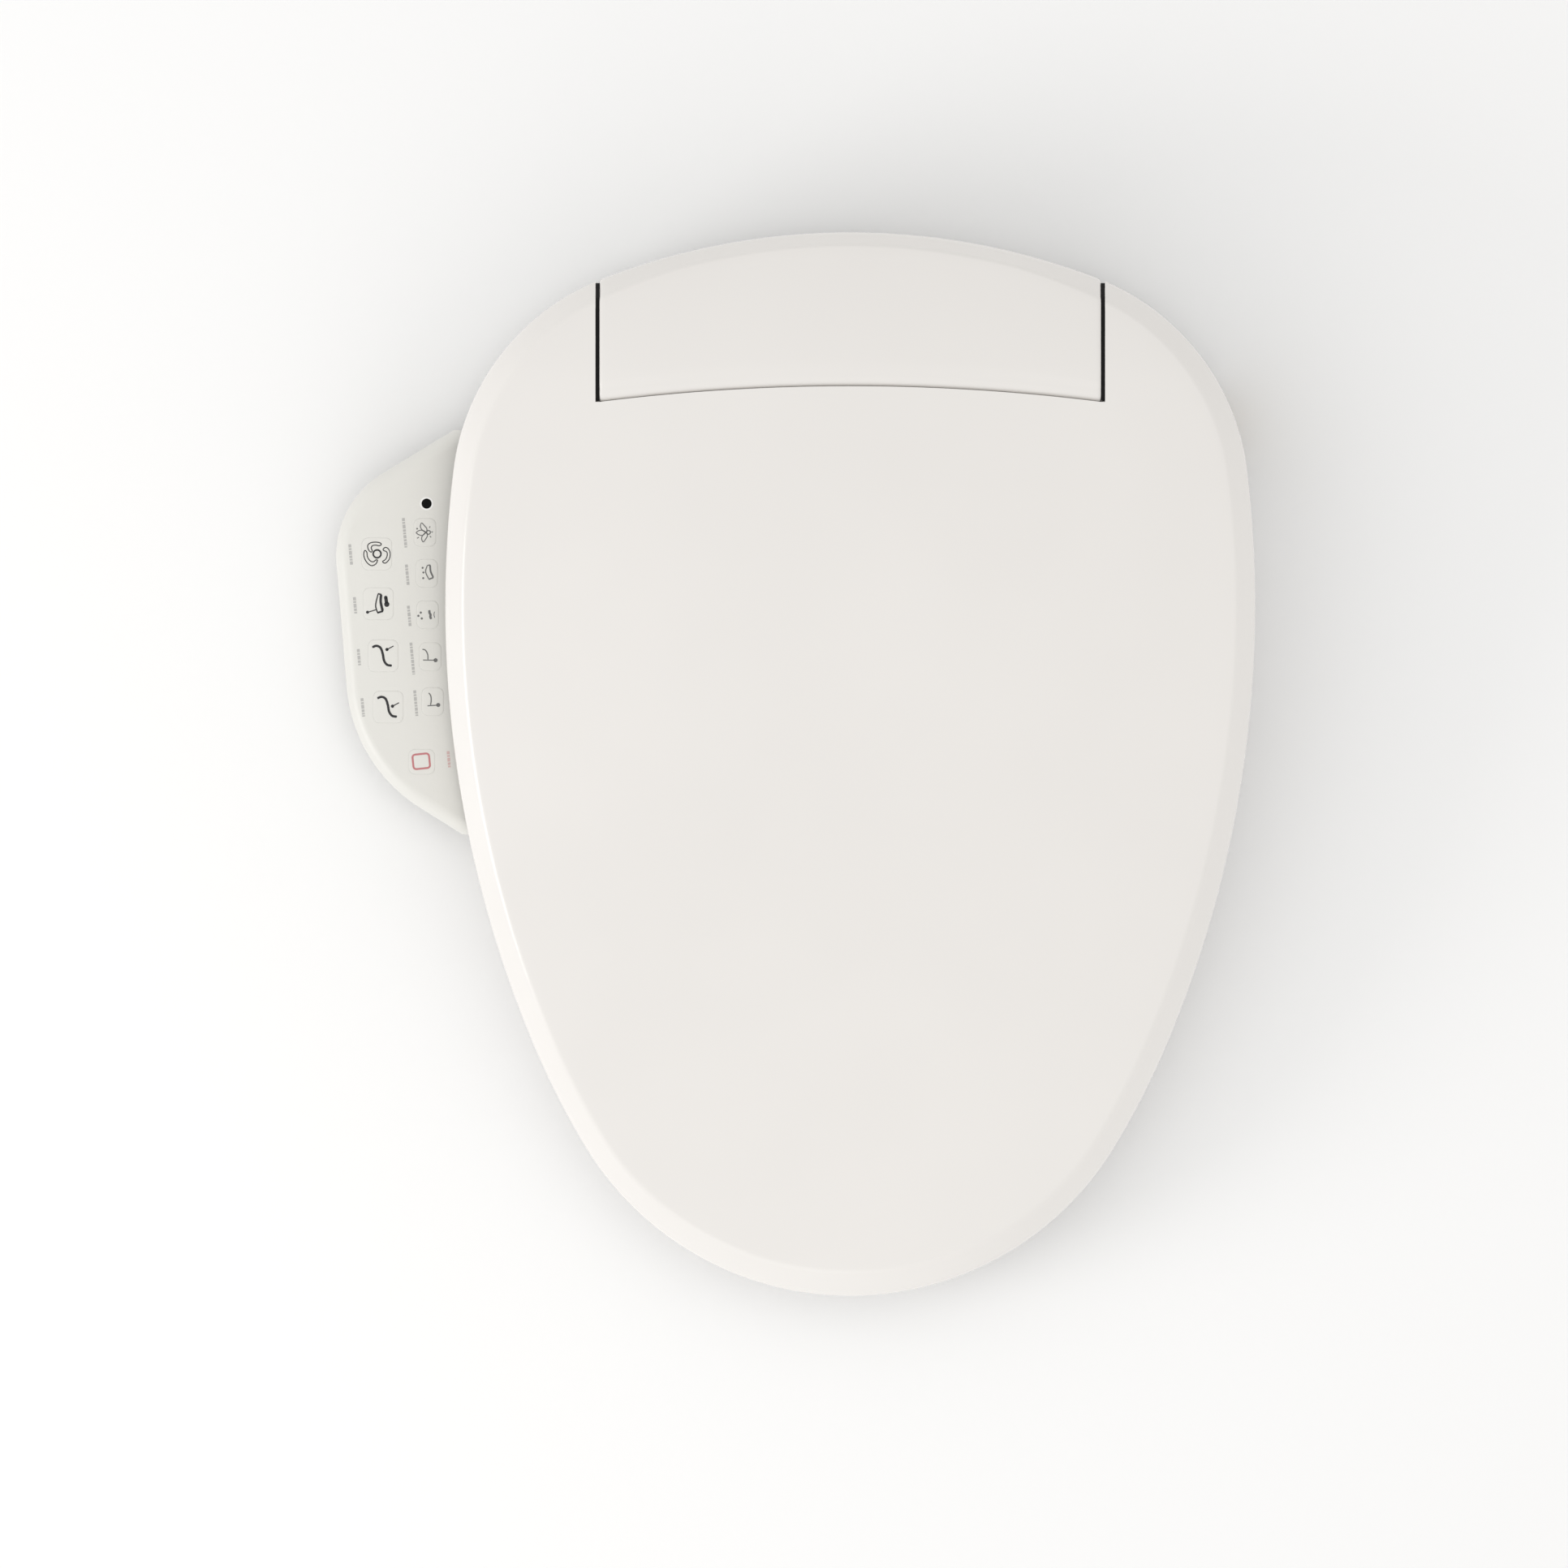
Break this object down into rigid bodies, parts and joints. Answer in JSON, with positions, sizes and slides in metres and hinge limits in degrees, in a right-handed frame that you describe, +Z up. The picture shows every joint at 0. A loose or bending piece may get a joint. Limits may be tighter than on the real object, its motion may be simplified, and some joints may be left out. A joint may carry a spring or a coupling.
{
  "type": "electric bidet seat",
  "caption": "Electric bidet toilet seat: hinged lid and heated seat ring on a rear housing with sliding wash wand, dryer and side control panel.",
  "frame": {"origin": "midway between the two deck bolts, on the bowl's deck plane under the mounting plate", "axes": "+Z up, -Y towards the nose of the seat, +X to the side away from the control panel"},
  "size_m": [0.4533, 0.5244, 0.127],
  "materials": {
    "shell_white": "smooth glossy warm-white moulded plastic",
    "panel_white": "satin-gloss warm-white moulded plastic",
    "seat_white": "smooth glossy white moulded plastic",
    "key_white": "satin key film",
    "window_black": "dark infrared window",
    "frame_grey": "fine-textured plastic",
    "inner_grey": "glass-filled plastic",
    "rubber_grey": "soft rubber",
    "steel": "zinc plated steel",
    "stainless": "stainless tube",
    "brass": "machined brass",
    "copper_coil": "wound copper under varnish",
    "board_green": "circuit board",
    "hose_clear": "silicone hose",
    "heater_foil": "foil heating film",
    "damper_black": "black acetal"
  },
  "bodies": {
    "plate": {"mounting_plate": "frame_grey"},
    "housing": {"base_chassis": "frame_grey", "rear_cover": "shell_white", "panel_base": "panel_white", "panel_cover": "panel_white", "sensor_window": "window_black", "panel_board": "board_green", "panel_switches": "damper_black", "panel_screws": "steel", "panel_cable": "damper_black", "main_board": "board_green", "water_heater": "inner_grey", "solenoid_body": "inner_grey", "solenoid_coil": "copper_coil", "water_inlet": "brass", "flow_valve": "inner_grey", "inlet_hose": "hose_clear", "cold_hose": "hose_clear", "warm_hose": "hose_clear", "nozzle_cradle": "inner_grey", "feed_tube": "inner_grey", "nozzle_motor": "steel", "nozzle_port": "frame_grey", "blower_housing": "inner_grey", "blower_motor": "steel", "dryer_duct": "inner_grey", "dryer_heater": "steel", "seat_damper": "damper_black", "lid_damper": "damper_black", "hinge_bushes": "damper_black", "cord_gland": "rubber_grey", "housing_screws": "steel"},
    "seat": {"seat_top": "seat_white", "seat_underside": "seat_white", "seat_heater": "heater_foil", "seat_bumpers": "rubber_grey", "seat_hinge_shaft": "steel"},
    "lid": {"lid": "shell_white", "lid_bumpers": "rubber_grey", "lid_hinge_shaft": "steel"},
    "wand": {"wand_tube": "stainless", "nozzle_tip": "seat_white", "wand_rack": "inner_grey"},
    "pinion": {"nozzle_pinion": "seat_white"},
    "impeller": {"blower_impeller": "damper_black"},
    "flap": {"dryer_flap": "seat_white"},
    "release": {"release_button": "frame_grey"},
    "plunger": {"solenoid_plunger": "steel"},
    "key_dryer": {"key_dryer": "key_white"},
    "key_wand_heat": {"key_wand_heat": "key_white"},
    "key_rear_wash": {"key_rear_wash": "key_white"},
    "key_front_wash": {"key_front_wash": "key_white"},
    "key_sanitise": {"key_sanitise": "key_white"},
    "key_wand_clean": {"key_wand_clean": "key_white"},
    "key_water_heat": {"key_water_heat": "key_white"},
    "key_rear_pressure": {"key_rear_pressure": "key_white"},
    "key_front_pressure": {"key_front_pressure": "key_white"},
    "key_stop": {"key_stop": "key_white"}
  },
  "joints": [
    {"name": "plate_release_slide", "type": "slide", "parent": "plate", "child": "housing", "axis": [0, -1, 0], "range_m": [0, 0.06]},
    {"name": "seat_hinge", "type": "hinge", "parent": "housing", "child": "seat", "pos_m": [0, 0.003, 0.1], "axis": [-1, 0, 0], "range_deg": [0, 100]},
    {"name": "lid_hinge", "type": "hinge", "parent": "seat", "child": "lid", "pos_m": [0, 0.003, 0.1], "axis": [1, 0, 0], "range_deg": [-105, 0]},
    {"name": "wand_slide", "type": "slide", "parent": "housing", "child": "wand", "axis": [0, -0.9763, -0.2164], "range_m": [0, 0.065]},
    {"name": "pinion_spin", "type": "hinge", "parent": "housing", "child": "pinion", "pos_m": [0, -0.04575, 0.04381], "axis": [1, 0, 0], "range_deg": [-700, 700]},
    {"name": "impeller_spin", "type": "hinge", "parent": "housing", "child": "impeller", "pos_m": [0, 0.008, 0.05], "axis": [1, 0, 0], "continuous": true},
    {"name": "flap_hinge", "type": "hinge", "parent": "housing", "child": "flap", "pos_m": [0.031, -0.0648, 0.0292], "axis": [-1, 0, 0], "range_deg": [0, 45]},
    {"name": "release_press", "type": "slide", "parent": "housing", "child": "release", "axis": [-1, 0, 0], "range_m": [0, 0.003], "stiffness_N_per_m": 1500, "springref_m": -0.001},
    {"name": "plunger_slide", "type": "slide", "parent": "housing", "child": "plunger", "axis": [0, 0, 1], "range_m": [0, 0.002], "stiffness_N_per_m": 800, "springref_m": -0.001},
    {"name": "key_dryer_press", "type": "slide", "parent": "housing", "child": "key_dryer", "axis": [0, 0, -1], "range_m": [0, 0.0008], "stiffness_N_per_m": 1500, "springref_m": -0.0005},
    {"name": "key_wand_heat_press", "type": "slide", "parent": "housing", "child": "key_wand_heat", "axis": [0, 0, -1], "range_m": [0, 0.0008], "stiffness_N_per_m": 1500, "springref_m": -0.0005},
    {"name": "key_rear_wash_press", "type": "slide", "parent": "housing", "child": "key_rear_wash", "axis": [0, 0, -1], "range_m": [0, 0.0008], "stiffness_N_per_m": 1500, "springref_m": -0.0005},
    {"name": "key_front_wash_press", "type": "slide", "parent": "housing", "child": "key_front_wash", "axis": [0, 0, -1], "range_m": [0, 0.0008], "stiffness_N_per_m": 1500, "springref_m": -0.0005},
    {"name": "key_sanitise_press", "type": "slide", "parent": "housing", "child": "key_sanitise", "axis": [0, 0, -1], "range_m": [0, 0.0008], "stiffness_N_per_m": 1500, "springref_m": -0.0005},
    {"name": "key_wand_clean_press", "type": "slide", "parent": "housing", "child": "key_wand_clean", "axis": [0, 0, -1], "range_m": [0, 0.0008], "stiffness_N_per_m": 1500, "springref_m": -0.0005},
    {"name": "key_water_heat_press", "type": "slide", "parent": "housing", "child": "key_water_heat", "axis": [0, 0, -1], "range_m": [0, 0.0008], "stiffness_N_per_m": 1500, "springref_m": -0.0005},
    {"name": "key_rear_pressure_press", "type": "slide", "parent": "housing", "child": "key_rear_pressure", "axis": [0, 0, -1], "range_m": [0, 0.0008], "stiffness_N_per_m": 1500, "springref_m": -0.0005},
    {"name": "key_front_pressure_press", "type": "slide", "parent": "housing", "child": "key_front_pressure", "axis": [0, 0, -1], "range_m": [0, 0.0008], "stiffness_N_per_m": 1500, "springref_m": -0.0005},
    {"name": "key_stop_press", "type": "slide", "parent": "housing", "child": "key_stop", "axis": [0, 0, -1], "range_m": [0, 0.0008], "stiffness_N_per_m": 1500, "springref_m": -0.0005}
  ],
  "couplings": [
    {"joint": "pinion_spin", "follows": "wand_slide", "rad_per_m": -174.53}
  ]
}
